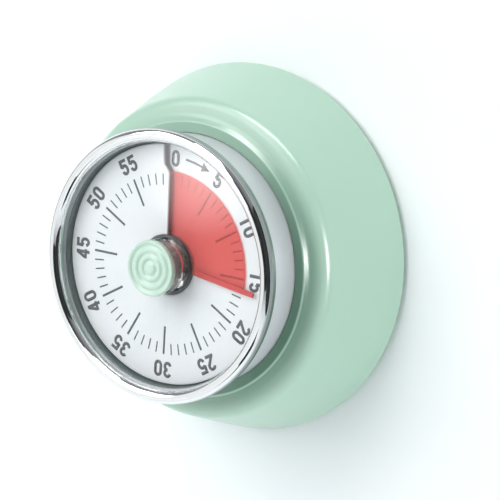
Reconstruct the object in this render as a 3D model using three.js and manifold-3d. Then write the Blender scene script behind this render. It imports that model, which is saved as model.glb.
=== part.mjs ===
// Magnetic kitchen timer: a flared round body that stands on a wall, dial outwards.
// Everything is drawn in the dial's own frame first: X to the right, Y up, Z out of the
// wall, with the origin at the centre of the magnet's rear face. The group then turns
// that frame so that the dial looks along -Y and +Z is up. Angles on the dial run
// clockwise from the 0 mark. All sizes are in millimetres.
import * as THREE from 'three';
import { mergeVertices } from 'three/addons/utils/BufferGeometryUtils.js';
import Module from 'manifold-3d';

const wasm = await Module();
wasm.setup();

// Clearances
const FIT = 0.25; // between pieces that seat on each other
const RUN = 0.3; // around anything that turns or slides

// Body shell, a thin pressing
const BODY_R = 35;
const RIM_Z = 0.8;
const RIM_STEP = 1.7; // how far the crease lies inside the rim
const CREASE_Z = 6.8;
const COVE_W = 4.75; // from the crest out to the start of the shoulder
const SHOULDER_DROP = 3.4; // from the mouth back to the start of the shoulder
const BAND_W = 2; // flat band between the crest and the drum
const MOUTH_Z = 19.5;
const SHELL_T = 0.8;

// Drum, dial and lens
const DRUM_R = 23.55;
const DRUM_T = 1.05;
const DRUM_H = 7.9; // how far the drum stands out of the body's mouth
const FLANGE_T = 1.1;
const FLANGE_IN = 3.5; // how far the flange reaches in from the drum's bore
const LEDGE_W = 2;
const BEZEL_R = 25.4;
const BEZEL_ROLL = 1.25; // radius of the rolled front
const BEZEL_LAP = 0.8;
const LENS_T = 0.9;
const DIAL_T = 0.4;
const DIAL_DROP = 2.35; // from the drum's front edge down to the dial's low side
const DIAL_LIFT = 1.3; // rise of the dial over one turn
const CUT_STEP = 4.2; // degrees that the cut steps back outside the film
const SEAT_T = 1.1;

// Red film, pointer and knob
const NUMERAL_BAND = 4.95; // dial left uncovered outside the film
const FILM_T = 0.2;
const FILM_GAP = 0.2;
const SET_DEG = 98.4; // 16.4 minutes
const POINTER_PAST = 2.4; // how far the pointer reaches past the film
const POINTER_W = 1;
const POINTER_T = 0.3;
const KNOB_R = 4.7;
const KNOB_H = 2.7; // how far the clear knob stands out of the drum's front plane
const CAP_OVERHANG = 0.5;
const CAP_T = 1.25;
const HUB_T = 0.75;

// Movement
const PLATE_T = 1;
const PLATE_GAP = 6.2;
const PLATE_EDGE = 0.3; // metal left outside the outermost posts
const ARBOR_R = 1.5;
const PIVOT_R = 0.5;
const BUSH_T = 1.2;
const PILLAR_R = 1.5;
const PILLAR_ANGLES = [90, 330, 220];
const POST_REACH = 21.2;
const POST_ANGLES = [60, 180, 300];
const DRUM_SCREW_ANGLES = [30, 150, 270];
const SCREW_R = 0.7;
const HEAD_R = 1.5;
const HEAD_T = 0.7;
const TENON_R = 0.8;

// Going train: teeth, module and place of each arbor
const GREAT = { teeth: 60, module: 0.35 };
const SECOND = { teeth: 50, module: 0.3 };
const THIRD = { teeth: 42, module: 0.3 };
const PINION_TEETH = 8;
const WHEEL_T = 0.7;
const PINION_T = 1.2;
const MESH_EASE = 0.1; // added to each centre distance
const SECOND_ANGLE = 150;
const THIRD_REACH = 12.3;
const ESCAPE_REACH = 12.6;
const PALLET_REACH = 12.8;
const ESCAPE_TEETH = 15;
const ESCAPE_R = 3.2;
const PALLET_SPAN = 5.2;
const WEIGHT_R = 1.6;
const WEIGHT_ROOM = 0.35; // from the pallets' weight to the nearest drum screw
const LEVEL_STEP = 1.35;

// Mainspring
const SPRING_TURNS = 4.5;
const SPRING_STRIP = 0.4;
const SPRING_H = 3;
const SPRING_OUTER = 11;

// Alarm
const CAM_R = 5.5;
const CAM_T = 0.8;
const GONG_R = 16;
const GONG_T = 0.6;
const GONG_BASE_R = 13;
const HAMMER_PIVOT_REACH = 17.2;
const HAMMER_PIVOT_ANGLE = 10;
const HAMMER_HEAD_ANGLE = 39;
const HAMMER_HEAD_R = 1.2;
const HAMMER_GAP = 1;
const HAMMER_PIN_R = 0.8;

// Rear cover, magnet and foot
const COVER_Z = 2.1;
const COVER_T = 1;
const MAGNET_R = 13;
const MAGNET_T = 1.1;
const CUP_T = 0.5;
const FOOT_INSET = 1.8; // from the cover's edge in to the foot ring
const FOOT_W = 3;

// Facets round a full turn
const FINE = 40;
const MEDIUM = 24;
const COARSE = 12;

const timer = new THREE.Group();
timer.name = 'kitchen_timer';
timer.rotation.x = Math.PI / 2;

const FINISH = {
  mint: { color: 0xa9d6be, roughness: 0.25, metalness: 0.1 },
  satin: { color: 0xc9cfd2, roughness: 0.4, metalness: 0.8 },
  chrome: { color: 0xe6e8e8, roughness: 0.06, metalness: 1 },
  clear: { color: 0xf2f6f6, roughness: 0.05, metalness: 0, transparent: true, opacity: 0.3 },
  white: { color: 0xe4e9eb, roughness: 0.6, metalness: 0 },
  red: { color: 0xd9463f, roughness: 0.3, metalness: 0, transparent: true, opacity: 0.85 },
  dark: { color: 0x3c4144, roughness: 0.5, metalness: 0 },
  brass: { color: 0xc9a24e, roughness: 0.3, metalness: 1 },
  steel: { color: 0xa9adb0, roughness: 0.3, metalness: 1 },
  blued: { color: 0x2d3648, roughness: 0.3, metalness: 1 },
  black: { color: 0x26282a, roughness: 0.6, metalness: 0.2 },
  rubber: { color: 0x1d1e1f, roughness: 0.9, metalness: 0 },
};

function rad(degrees) {
  return THREE.MathUtils.degToRad(degrees);
}

// A point at a distance and an angle (counter-clockwise from +X) round a centre.
function polar(reach, degrees, centre = { x: 0, y: 0 }) {
  return {
    x: centre.x + reach * Math.cos(rad(degrees)),
    y: centre.y + reach * Math.sin(rad(degrees)),
  };
}

// Closed solids carry only merged positions, and their faces look outwards.
function solid(geometry) {
  const bare = geometry.index ? geometry.clone() : geometry;
  bare.deleteAttribute('normal');
  bare.deleteAttribute('uv');
  const merged = mergeVertices(bare, 1e-4);
  const p = merged.attributes.position;
  const index = merged.index.array;
  const kept = [];
  let volume = 0;
  const [a, b, c] = [new THREE.Vector3(), new THREE.Vector3(), new THREE.Vector3()];
  for (let i = 0; i < index.length; i += 3) {
    const [u, v, w] = [index[i], index[i + 1], index[i + 2]];
    if (u === v || v === w || w === u) {
      continue;
    }
    a.fromBufferAttribute(p, u);
    b.fromBufferAttribute(p, v);
    c.fromBufferAttribute(p, w);
    volume += a.dot(b.clone().cross(c));
    kept.push(u, v, w);
  }
  if (volume < 0) {
    kept.reverse();
  }
  merged.setIndex(kept);
  return merged;
}

function toManifold(geometry) {
  const closed = solid(geometry);
  return new wasm.Manifold(new wasm.Mesh({
    numProp: 3,
    vertProperties: new Float32Array(closed.attributes.position.array),
    triVerts: new Uint32Array(closed.index.array),
  }));
}

function fromManifold(body) {
  const mesh = body.getMesh();
  const geometry = new THREE.BufferGeometry();
  geometry.setAttribute('position', new THREE.BufferAttribute(new Float32Array(mesh.vertProperties), 3));
  geometry.setIndex(Array.from(mesh.triVerts));
  return geometry;
}

// The first geometry with the others joined on.
function joined(first, ...others) {
  return fromManifold(others.reduce((sum, other) => sum.add(toManifold(other)), toManifold(first)));
}

// The first geometry with the others cut away.
function cut(first, ...others) {
  return fromManifold(others.reduce((rest, other) => rest.subtract(toManifold(other)), toManifold(first)));
}

// A profile of [radius, z] points turned about the Z axis through a centre.
function turned(profile, facets = FINE, at = { x: 0, y: 0 }) {
  const points = profile.map(([r, z]) => new THREE.Vector2(r, z));
  const onAxis = profile[0][0] === 0 && profile[profile.length - 1][0] === 0;
  if (!onAxis) {
    points.push(points[0].clone());
  }
  return new THREE.LatheGeometry(points, facets).rotateX(Math.PI / 2).translate(at.x, at.y, 0);
}

function rod(radius, z0, z1, at = { x: 0, y: 0 }, facets = COARSE) {
  return turned([[0, z0], [radius, z0], [radius, z1], [0, z1]], facets, at);
}

function ring(inner, outer, z0, z1, facets = FINE, at = { x: 0, y: 0 }) {
  return turned([[inner, z0], [outer, z0], [outer, z1], [inner, z1]], facets, at);
}

function circle(radius, facets, at = { x: 0, y: 0 }) {
  return Array.from({ length: facets }, (_, i) => {
    const { x, y } = polar(radius, (360 * i) / facets, at);
    return new THREE.Vector2(x, y);
  });
}

// A flat outline drawn in X and Y, with round holes, from z0 to z1.
function slab(outline, holes, z0, z1) {
  const shape = outline.clone();
  for (const { x, y, r } of holes) {
    shape.holes.push(new THREE.Path(circle(r, COARSE, { x, y })));
  }
  return new THREE.ExtrudeGeometry(shape, { depth: z1 - z0, bevelEnabled: false }).translate(0, 0, z0);
}

function disc(radius) {
  return new THREE.Shape(circle(radius, FINE));
}

// A bar with square ends between two points.
function bar(from, to, width, z0, z1) {
  const length = Math.hypot(to.x - from.x, to.y - from.y);
  return new THREE.BoxGeometry(length, width, z1 - z0)
    .rotateZ(Math.atan2(to.y - from.y, to.x - from.x))
    .translate((from.x + to.x) / 2, (from.y + to.y) / 2, (z0 + z1) / 2);
}

// A flat ring bent up into part of a helix: a box whose length runs clockwise round the
// dial from one angle to another. bottom and top give z at an angle.
function helicalRing(inner, outer, startDeg, endDeg, bottom, top, steps) {
  const box = new THREE.BoxGeometry(1, 1, 1, 1, steps, 1);
  const p = box.attributes.position;
  for (let i = 0; i < p.count; i += 1) {
    const radius = THREE.MathUtils.lerp(inner, outer, p.getX(i) + 0.5);
    const angle = THREE.MathUtils.lerp(startDeg, endDeg, p.getY(i) + 0.5);
    const z = THREE.MathUtils.lerp(bottom(angle), top(angle), p.getZ(i) + 0.5);
    p.setXYZ(i, radius * Math.sin(rad(angle)), radius * Math.cos(rad(angle)), z);
  }
  return box;
}

// A spur gear's outline, with one tooth centred on the angle phase (radians).
function gearOutline(teeth, module, phase, at) {
  const pitch = (2 * Math.PI) / teeth;
  const pitchR = (teeth * module) / 2;
  const rootR = pitchR - 1.25 * module;
  const tipR = pitchR + 0.85 * module;
  const shape = new THREE.Shape();
  const flank = [[rootR, -0.27], [tipR, -0.1], [tipR, 0.1], [rootR, 0.27]];
  for (let tooth = 0; tooth < teeth; tooth += 1) {
    for (const [radius, share] of flank) {
      const angle = phase + (tooth + share) * pitch;
      const x = at.x + radius * Math.cos(angle);
      const y = at.y + radius * Math.sin(angle);
      if (tooth === 0 && share === -0.27) {
        shape.moveTo(x, y);
      } else {
        shape.lineTo(x, y);
      }
    }
  }
  shape.closePath();
  return shape;
}

function add(name, geometry, finish) {
  const material = new THREE.MeshStandardMaterial(FINISH[finish]);
  const mesh = new THREE.Mesh(solid(geometry), material);
  mesh.name = name;
  timer.add(mesh);
}

// ---- Heights that several pieces share, worked out from the mouth and the drum ----
const flangeFront = MOUTH_Z - SHELL_T - FIT;
const drumRear = flangeFront - FLANGE_T;
const drumFront = MOUTH_Z + DRUM_H;
const drumInner = DRUM_R - DRUM_T;
const mouthR = DRUM_R + FIT;
const crestR = DRUM_R + BAND_W;
const shoulderR = crestR + COVE_W;
const dialR = drumInner - FIT;
const filmR = dialR - NUMERAL_BAND;
const pointerR = filmR + POINTER_PAST;
const capR = KNOB_R + CAP_OVERHANG;
const drumScrewReach = drumInner - FLANGE_IN / 2;
const dialLow = drumFront - DIAL_DROP;
const lensBack = drumFront + FIT;
const lensFront = lensBack + LENS_T;
const plateFront = drumRear - FIT;
const plateBack = plateFront - PLATE_T;
const rearPlateFront = plateBack - PLATE_GAP;
const rearPlateBack = rearPlateFront - PLATE_T;
const coverFront = COVER_Z + COVER_T;

// Height of the dial's face at an angle clockwise from its cut.
function dialFace(degrees) {
  return dialLow + (DIAL_LIFT * degrees) / 360;
}

// ---- Body shell: rim band, long skirt, round shoulder, cove and crest at the mouth ----
function shellOutside() {
  const shoulderZ = MOUTH_Z - SHOULDER_DROP;
  const coveR = (shoulderR + crestR) / 2;
  const profile = [[BODY_R - 0.25, RIM_Z], [BODY_R, RIM_Z + 0.4]];
  profile.push([BODY_R - RIM_STEP, CREASE_Z]);
  profile.push([shoulderR, shoulderZ]);
  profile.push([shoulderR - 0.45, shoulderZ + 1.1]);
  profile.push([shoulderR - 1.25, shoulderZ + 1.85]);
  profile.push([coveR - 0.2, shoulderZ + 2.35]);
  profile.push([crestR + 0.9, MOUTH_Z - 0.75]);
  profile.push([crestR + 0.3, MOUTH_Z - 0.2]);
  profile.push([crestR, MOUTH_Z]);
  return profile;
}

// The outside moved in by the sheet's thickness, square to the sheet.
function shellInside(outside) {
  return outside.map(([r, z], i) => {
    const before = outside[Math.max(i - 1, 0)];
    const after = outside[Math.min(i + 1, outside.length - 1)];
    const along = new THREE.Vector2(after[0] - before[0], after[1] - before[1]).normalize();
    return [r - along.y * SHELL_T, z + along.x * SHELL_T];
  });
}

const outside = shellOutside();
const skirtInside = shellInside(outside.slice(1));
const mouthBack = MOUTH_Z - SHELL_T;
const inside = skirtInside.filter(([, z]) => z < mouthBack - 0.1);
add('body_shell', turned([
  ...outside,
  [mouthR, MOUTH_Z - 0.05],
  [mouthR, mouthBack],
  [crestR, mouthBack],
  ...inside.reverse(),
  [BODY_R - 0.25 - SHELL_T, RIM_Z],
]), 'mint');

// Inner radius of the shell at a height on its rim band.
function shellBore(z) {
  const share = (z - RIM_Z) / (CREASE_Z - RIM_Z);
  return BODY_R - SHELL_T - RIM_STEP * share;
}

// ---- Drum with its flange, its ledge for the dial seat and three screw holes ----
const drumProfile = [
  [drumInner - FLANGE_IN, drumRear],
  [crestR - FIT, drumRear],
  [crestR - FIT, flangeFront],
  [DRUM_R, flangeFront],
  [DRUM_R, drumFront],
  [drumInner, drumFront],
];
const seatBack = dialLow - DIAL_LIFT + FILM_GAP - RUN - SEAT_T;
const ledgeTop = seatBack - FIT;
drumProfile.push([drumInner, ledgeTop]);
drumProfile.push([drumInner - LEDGE_W, ledgeTop]);
drumProfile.push([drumInner - LEDGE_W, ledgeTop - 1]);
drumProfile.push([drumInner, ledgeTop - 1]);
drumProfile.push([drumInner, flangeFront]);
drumProfile.push([drumInner - FLANGE_IN, flangeFront]);
const drumHoles = DRUM_SCREW_ANGLES.map((angle) => (
  rod(SCREW_R + FIT, drumRear - 1, flangeFront + 1, polar(drumScrewReach, angle))
));
add('drum', cut(turned(drumProfile), ...drumHoles), 'satin');

// ---- Bezel: a sleeve over the drum's front with a rolled lip that holds the lens ----
const lipZ = lensFront + FIT;
const rollZ = lipZ + 0.1;
const rollR = BEZEL_R - BEZEL_ROLL;
const bezelRear = drumFront - BEZEL_LAP;
const bezelProfile = [
  [mouthR, bezelRear],
  [mouthR + 0.7, bezelRear],
  [BEZEL_R - 0.3, bezelRear + 0.8],
];
for (let angle = 0; angle <= 180; angle += 30) {
  bezelProfile.push([rollR + BEZEL_ROLL * Math.cos(rad(angle)), rollZ + BEZEL_ROLL * Math.sin(rad(angle))]);
}
bezelProfile.push([rollR - BEZEL_ROLL, lipZ]);
bezelProfile.push([mouthR, lipZ]);
add('bezel', turned(bezelProfile), 'chrome');

// ---- Lens: a flat disc with a hole that the knob turns in ----
add('lens', ring(KNOB_R + RUN, mouthR - FIT, lensBack, lensFront), 'clear');

// ---- Dial: one turn of a shallow helix, cut at 0, so that its left side stands higher.
// Outside the film the cut steps back, which leaves room for the numeral 0 ----
const hubOuter = KNOB_R + RUN + HUB_T;
const dialHole = hubOuter + RUN + 0.2;
const dialUnder = (angle) => dialFace(angle) - DIAL_T;
const stepR = filmR + 0.15;
const innerDial = helicalRing(dialHole, stepR, 0.3, 359.7, dialUnder, dialFace, 48);
const outerStart = 0.3 - CUT_STEP;
const outerStop = 359.7 - CUT_STEP;
const outerDial = helicalRing(stepR - 0.05, dialR, outerStart, outerStop, dialUnder, dialFace, 48);
add('dial_plate', joined(innerDial, outerDial), 'white');

// ---- Dial seat: a floor on the drum's ledge and a helical rim that carries the dial ----
const seatFront = seatBack + SEAT_T;
const seatRimInner = filmR + 0.4;
const floorRing = ring(dialHole, dialR, seatBack, seatFront);
const seatTop = (angle) => dialUnder(angle) - FIT;
const seatRim = helicalRing(seatRimInner, dialR - 0.05, 2, 350, () => seatFront - 0.3, seatTop, 40);
add('dial_seat', joined(floorRing, seatRim), 'white');

// ---- Red film on the same helix as the dial, with its hub and pointer ----
const filmBack = (angle) => dialFace(angle) + FILM_GAP;
const filmFront = (angle) => filmBack(angle) + FILM_T;
const filmStart = SET_DEG - 359;
const filmInner = hubOuter + 0.2;
add('red_film', helicalRing(filmInner, filmR, filmStart, SET_DEG, filmBack, filmFront, 48), 'red');

const hubBack = filmBack(filmStart) - RUN;
const hubFront = filmFront(SET_DEG) + 0.6;
add('film_hub', ring(KNOB_R + RUN, hubOuter, hubBack, hubFront, MEDIUM), 'dark');

// The bar lies on the film with its leading side on the film's edge.
const pointerBack = filmFront(SET_DEG) + 0.1;
const pointerInner = filmInner + 0.3;
add('film_pointer', new THREE.BoxGeometry(POINTER_W, pointerR - pointerInner, POINTER_T)
  .translate(-POINTER_W / 2, (pointerR + pointerInner) / 2, pointerBack + POINTER_T / 2)
  .rotateZ(-rad(SET_DEG)), 'red');

// ---- Knob: a clear barrel on the main arbor, with a grooved cap ----
const knobBack = seatFront + RUN;
const knobFront = drumFront + KNOB_H;
const socketR = ARBOR_R + FIT;
const arborFront = knobFront - 1.5;
add('knob_body', turned([
  [0, knobFront],
  [KNOB_R, knobFront],
  [KNOB_R, knobBack],
  [socketR, knobBack],
  [socketR, arborFront + FIT],
  [0, arborFront + FIT],
], MEDIUM), 'clear');

const capBack = knobFront + FIT;
const capFront = capBack + CAP_T;
const GROOVES = [0.8, 0.52, 0.265]; // places of the grooves, as shares of the cap's radius
const capProfile = [
  [0, capBack],
  [capR - 0.45, capBack],
  [capR, capBack + 0.45],
  [capR, capBack + 0.75],
  [capR - 0.3, capFront - 0.15],
];
for (const share of GROOVES) {
  capProfile.push([capR * share + 0.32, capFront]);
  capProfile.push([capR * share, capFront - 0.18]);
  capProfile.push([capR * share - 0.32, capFront]);
}
capProfile.push([0, capFront - 0.05]);
add('knob_cap', turned(capProfile, MEDIUM), 'mint');

// ---- Plates, bushes and the pillars between them ----
const frontPlateR = POST_REACH + PILLAR_R + PLATE_EDGE;
const rearPlateR = POST_REACH - PILLAR_R - RUN;
const pillarReach = rearPlateR - HEAD_R;
const postSpots = POST_ANGLES.map((angle) => polar(POST_REACH, angle));
const pillarSpots = PILLAR_ANGLES.map((angle) => polar(pillarReach, angle));
const drumScrewSpots = DRUM_SCREW_ANGLES.map((angle) => polar(drumScrewReach, angle));

// Places of the arbors: each lies at its mesh distance from the one before, and at a
// chosen reach from the main arbor.
function meshDistance(wheel) {
  return ((wheel.teeth + PINION_TEETH) * wheel.module) / 2 + MESH_EASE;
}

function nextSpot(from, distance, reach) {
  const back = Math.hypot(from.x, from.y);
  const turn = Math.acos((back * back + reach * reach - distance * distance) / (2 * back * reach));
  return polar(reach, THREE.MathUtils.radToDeg(Math.atan2(from.y, from.x) + turn));
}

const mainSpot = { x: 0, y: 0 };
const secondSpot = polar(meshDistance(GREAT), SECOND_ANGLE);
const thirdSpot = nextSpot(secondSpot, meshDistance(SECOND), THIRD_REACH);
const escapeSpot = nextSpot(thirdSpot, meshDistance(THIRD), ESCAPE_REACH);
const palletSpot = nextSpot(escapeSpot, PALLET_SPAN, PALLET_REACH);
const pivotSpots = [secondSpot, thirdSpot, escapeSpot, palletSpot];
const hammerPivot = polar(HAMMER_PIVOT_REACH, HAMMER_PIVOT_ANGLE);

function holes(spots, radius) {
  return spots.map(({ x, y }) => ({ x, y, r: radius }));
}

const bushOuter = ARBOR_R + RUN + BUSH_T;
const frontHoles = [
  ...holes([mainSpot], bushOuter + FIT),
  ...holes(pivotSpots, PIVOT_R + RUN),
  ...holes([...pillarSpots, ...postSpots], TENON_R + FIT),
  ...holes(drumScrewSpots, SCREW_R + FIT),
];
add('front_plate', slab(disc(frontPlateR), frontHoles, plateBack, plateFront), 'brass');

const rearHoles = [
  ...holes([mainSpot], bushOuter + FIT),
  ...holes(pivotSpots, PIVOT_R + RUN),
  ...holes(pillarSpots, SCREW_R + FIT),
  ...holes([hammerPivot], HAMMER_PIN_R + FIT),
];
add('rear_plate', slab(disc(rearPlateR), rearHoles, rearPlateBack, rearPlateFront), 'brass');

const bushStand = 0.3;
const bushInner = ARBOR_R + RUN;
const bushFront = plateFront + bushStand;
add('front_bush', ring(bushInner, bushOuter, plateBack - bushStand, bushFront, MEDIUM), 'brass');
add('rear_bush', ring(
  bushInner,
  bushOuter,
  rearPlateBack - bushStand,
  rearPlateFront + bushStand,
  MEDIUM,
), 'brass');

// A post with a screw hole in its rear end and a tenon riveted into the front plate.
function post(spot, radius, back) {
  const shoulder = plateBack - FIT;
  const boreEnd = back + 3;
  return turned([
    [0, plateFront],
    [TENON_R, plateFront],
    [TENON_R, shoulder],
    [radius, shoulder],
    [radius, back],
    [SCREW_R + FIT, back],
    [SCREW_R + FIT, boreEnd],
    [0, boreEnd],
  ], COARSE, spot);
}

// A pan-head screw whose head is at the rear and whose shank points at the dial.
function screw(spot, seat, shankEnd, radius = SCREW_R) {
  return turned([
    [0, seat - HEAD_T],
    [HEAD_R - 0.3, seat - HEAD_T],
    [HEAD_R, seat - HEAD_T + 0.3],
    [HEAD_R, seat],
    [radius, seat],
    [radius, shankEnd],
    [0, shankEnd],
  ], COARSE, spot);
}

pillarSpots.forEach((spot, i) => {
  add(`pillar_${i + 1}`, post(spot, PILLAR_R, rearPlateFront + FIT), 'steel');
  add(`pillar_screw_${i + 1}`, screw(spot, rearPlateBack - FIT, rearPlateFront + 2.5), 'steel');
});
postSpots.forEach((spot, i) => {
  add(`cover_post_${i + 1}`, post(spot, PILLAR_R, coverFront + FIT), 'steel');
  add(`cover_screw_${i + 1}`, screw(spot, COVER_Z - FIT, coverFront + 2.5), 'steel');
});
drumScrewSpots.forEach((spot, i) => {
  add(`drum_screw_${i + 1}`, screw(spot, plateBack - FIT, flangeFront - FIT), 'steel');
});

// ---- Main arbor, friction clutch and alarm cam: all turn with the knob ----
const camBack = rearPlateBack - bushStand - RUN - CAM_T;
add('main_arbor', rod(ARBOR_R, camBack, arborFront, mainSpot, MEDIUM), 'steel');

const levelBack = (level) => rearPlateFront + 0.7 + level * LEVEL_STEP;
const clutchR = 3.4;
const washerBack = levelBack(0) + WHEEL_T + RUN;
const washerFront = washerBack + 0.4;
add('clutch_washer', ring(ARBOR_R + FIT, clutchR, washerBack, washerFront, MEDIUM), 'steel');
const collarBack = washerFront + FIT;
add('clutch_collar', ring(ARBOR_R + FIT, clutchR - 0.4, collarBack, washerFront + 1.5, MEDIUM), 'brass');

// The cam's notch lets the hammer lever drop when the pointer reaches 0.
const notchAngle = rad(90 - SET_DEG);
const notchDepth = 1.6;
const notch = new THREE.BoxGeometry(2 * notchDepth, 2.4, CAM_T + 2)
  .translate(CAM_R, 0, camBack + CAM_T / 2)
  .rotateZ(notchAngle);
add('alarm_cam', cut(ring(ARBOR_R + FIT, CAM_R, camBack, camBack + CAM_T, MEDIUM), notch), 'brass');

// ---- Going train ----
const arborBack = rearPlateBack + 0.1;
const arborEnd = plateFront - 0.1;

function lineAngle(from, to) {
  return Math.atan2(to.y - from.y, to.x - from.x);
}

// A wheel with a tooth on the line to the pinion that it drives.
function wheel(kind, spot, drives, level, bore) {
  const outline = gearOutline(kind.teeth, kind.module, lineAngle(spot, drives), spot);
  return slab(outline, holes([spot], bore), levelBack(level), levelBack(level) + WHEEL_T);
}

// An arbor with its pinion, which has a gap on the line back to its driving wheel.
function pinionArbor(spot, driver, kind, level) {
  const phase = lineAngle(spot, driver) + Math.PI / PINION_TEETH;
  const outline = gearOutline(PINION_TEETH, kind.module, phase, spot);
  const middle = levelBack(level) + WHEEL_T / 2;
  const pinion = slab(outline, [], middle - PINION_T / 2, middle + PINION_T / 2);
  return joined(rod(PIVOT_R, arborBack, arborEnd, spot), pinion);
}

add('great_wheel', wheel(GREAT, mainSpot, secondSpot, 0, ARBOR_R + RUN), 'brass');
add('second_arbor', pinionArbor(secondSpot, mainSpot, GREAT, 0), 'steel');
add('second_wheel', wheel(SECOND, secondSpot, thirdSpot, 1, PIVOT_R + FIT), 'brass');
add('third_arbor', pinionArbor(thirdSpot, secondSpot, SECOND, 1), 'steel');
add('third_wheel', wheel(THIRD, thirdSpot, escapeSpot, 2, PIVOT_R + FIT), 'brass');
add('escape_arbor', pinionArbor(escapeSpot, thirdSpot, THIRD, 2), 'steel');

// Fifteen pointed teeth that lean forward.
function escapeOutline(spot) {
  const shape = new THREE.Shape();
  const start = lineAngle(spot, palletSpot);
  for (let tooth = 0; tooth < ESCAPE_TEETH; tooth += 1) {
    const step = (2 * Math.PI) / ESCAPE_TEETH;
    const root = polar(ESCAPE_R - 0.9, THREE.MathUtils.radToDeg(start + tooth * step), spot);
    const tip = polar(ESCAPE_R, THREE.MathUtils.radToDeg(start + (tooth + 0.75) * step), spot);
    if (tooth === 0) {
      shape.moveTo(root.x, root.y);
    } else {
      shape.lineTo(root.x, root.y);
    }
    shape.lineTo(tip.x, tip.y);
  }
  shape.closePath();
  return shape;
}

const escapeHoles = holes([escapeSpot], PIVOT_R + FIT);
const escapeBack = levelBack(3);
add('escape_wheel', slab(escapeOutline(escapeSpot), escapeHoles, escapeBack, escapeBack + 0.6), 'brass');

// ---- Pallet lever: two pallets over the escape wheel and a weight that beats time ----
add('pallet_arbor', rod(PIVOT_R, arborBack, arborEnd, palletSpot), 'steel');
const leverBack = escapeBack - 0.1;
const leverFront = escapeBack + 0.7;
const beatAngle = THREE.MathUtils.radToDeg(lineAngle(escapeSpot, palletSpot));
const palletReach = ESCAPE_R + 0.35 + 0.45;
const [leftPallet, rightPallet] = [40, -40].map((side) => polar(palletReach, beatAngle + side, escapeSpot));
const weightReach = drumScrewReach - HEAD_R - WEIGHT_ROOM - WEIGHT_R - PALLET_REACH;
const weightSpot = polar(weightReach, beatAngle, palletSpot);
add('pallet_lever', cut(
  joined(
    rod(1.3, leverBack, leverFront, palletSpot),
    bar(palletSpot, leftPallet, 0.7, leverBack, leverFront),
    bar(palletSpot, rightPallet, 0.7, leverBack, leverFront),
    rod(0.45, leverBack, leverFront, leftPallet),
    rod(0.45, leverBack, leverFront, rightPallet),
    bar(palletSpot, weightSpot, 0.8, leverBack, leverFront),
    rod(WEIGHT_R, leverBack, leverFront, weightSpot),
  ),
  rod(PIVOT_R + FIT, leverBack - 1, leverFront + 1, palletSpot),
), 'steel');

// ---- Mainspring: a flat strip wound round the arbor in front of the front plate ----
const springBack = plateFront + bushStand + RUN;
const springInner = ARBOR_R + 0.9;
const springOutline = new THREE.Shape();
const springSteps = Math.round(SPRING_TURNS * 20);
function springPoint(step, side) {
  const share = step / springSteps;
  const reach = THREE.MathUtils.lerp(springInner, SPRING_OUTER, share) + (side * SPRING_STRIP) / 2;
  return polar(reach, 45 + 360 * SPRING_TURNS * (share - 1));
}
const springFirst = springPoint(0, -1);
springOutline.moveTo(springFirst.x, springFirst.y);
for (let step = 1; step <= springSteps; step += 1) {
  const { x, y } = springPoint(step, -1);
  springOutline.lineTo(x, y);
}
for (let step = springSteps; step >= 0; step -= 1) {
  const { x, y } = springPoint(step, 1);
  springOutline.lineTo(x, y);
}
springOutline.closePath();
add('mainspring', slab(springOutline, [], springBack, springBack + SPRING_H), 'blued');

const springPostR = 0.9;
const springPostSpot = polar(SPRING_OUTER + SPRING_STRIP / 2 + FIT + springPostR, 45);
add('spring_post', rod(springPostR, plateFront + FIT, springBack + SPRING_H, springPostSpot), 'steel');

// ---- Rear cover with the magnet in its cup and the rubber foot ring ----
const coverR = shellBore(coverFront) - FIT;
const gongScrewR = 1.2;
const coverHoles = [
  ...holes([mainSpot], gongScrewR + FIT),
  ...holes(postSpots, SCREW_R + FIT),
];
add('rear_cover', slab(disc(coverR), coverHoles, COVER_Z, coverFront), 'black');

const cupFront = COVER_Z - FIT;
const cupInner = MAGNET_R + FIT;
add('magnet_cup', turned([
  [0, cupFront],
  [cupInner + CUP_T, cupFront],
  [cupInner + CUP_T, 0.3],
  [cupInner, 0.3],
  [cupInner, cupFront - CUP_T],
  [0, cupFront - CUP_T],
]), 'steel');
add('disc_magnet', rod(MAGNET_R, 0, MAGNET_T, mainSpot, FINE), 'black');
const footR = coverR - FOOT_INSET;
add('foot_ring', ring(footR - FOOT_W, footR, 0, cupFront), 'rubber');

// ---- Gong on a spacer in front of the cover, held by one screw ----
const spacerBack = coverFront + FIT;
const spacerFront = spacerBack + 1;
const gongBack = spacerFront + FIT;
const gongRim = camBack - RUN;
add('gong_spacer', ring(gongScrewR + FIT, 3.6, spacerBack, spacerFront, MEDIUM), 'brass');
add('gong', turned([
  [gongScrewR + FIT, gongBack],
  [GONG_BASE_R, gongBack],
  [GONG_R - 0.6, (gongBack + gongRim) / 2 - 0.3],
  [GONG_R, gongRim],
  [GONG_R - GONG_T, gongRim],
  [GONG_R - 0.7 - GONG_T, (gongBack + gongRim) / 2],
  [GONG_BASE_R - 0.2, gongBack + GONG_T],
  [gongScrewR + FIT, gongBack + GONG_T],
]), 'steel');
const gongSeat = gongBack + GONG_T + FIT;
add('gong_screw', turned([
  [0, gongSeat + 0.8],
  [2, gongSeat + 0.8],
  [2.3, gongSeat + 0.5],
  [2.3, gongSeat],
  [gongScrewR, gongSeat],
  [gongScrewR, COVER_Z + 0.2],
  [0, COVER_Z + 0.2],
], COARSE), 'steel');

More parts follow.
